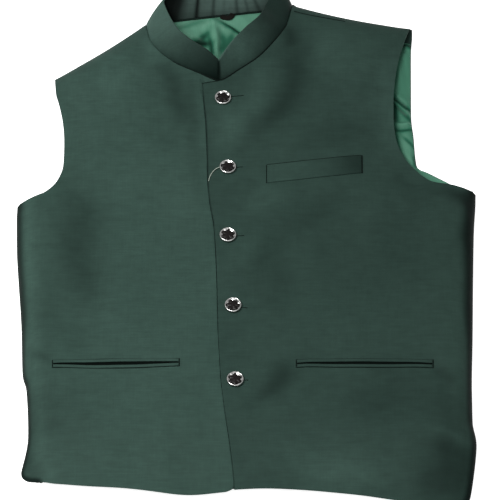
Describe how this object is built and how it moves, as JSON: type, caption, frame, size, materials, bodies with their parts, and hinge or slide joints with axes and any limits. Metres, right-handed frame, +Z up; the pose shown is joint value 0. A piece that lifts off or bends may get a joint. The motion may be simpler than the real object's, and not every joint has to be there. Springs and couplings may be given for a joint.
{
  "type": "nehru jacket",
  "caption": "Sleeveless stand-collar jacket laid flat on its back, buttoned up the front, with a chest welt and two jetted pockets.",
  "frame": {"origin": "centre of the bounding box's bottom face, on the surface that the jacket lies on", "axes": "+X to the viewer's right (the wearer's left), +Y from the hem to the collar, +Z up from the surface"},
  "size_m": [0.5634, 0.768, 0.051],
  "materials": {
    "shell": "fine smooth suiting with a soft sheen, dark green",
    "lining": "green satin lining",
    "button_metal": "polished silver-coloured rim",
    "button_enamel": "near-black glossy face"
  },
  "bodies": {
    "root": {"back_panel": "shell", "back_lining": "lining", "front_right": "shell", "front_left": "shell", "collar": "shell", "hanger_loop": "shell", "chest_welt": "shell", "pocket_right_upper": "shell", "pocket_right_lower": "shell", "pocket_left_upper": "shell", "pocket_left_lower": "shell", "button_1": "button_metal", "button_face_1": "button_enamel", "button_2": "button_metal", "button_face_2": "button_enamel", "button_3": "button_metal", "button_face_3": "button_enamel", "button_4": "button_metal", "button_face_4": "button_enamel", "button_5": "button_metal", "button_face_5": "button_enamel"}
  },
  "joints": []
}
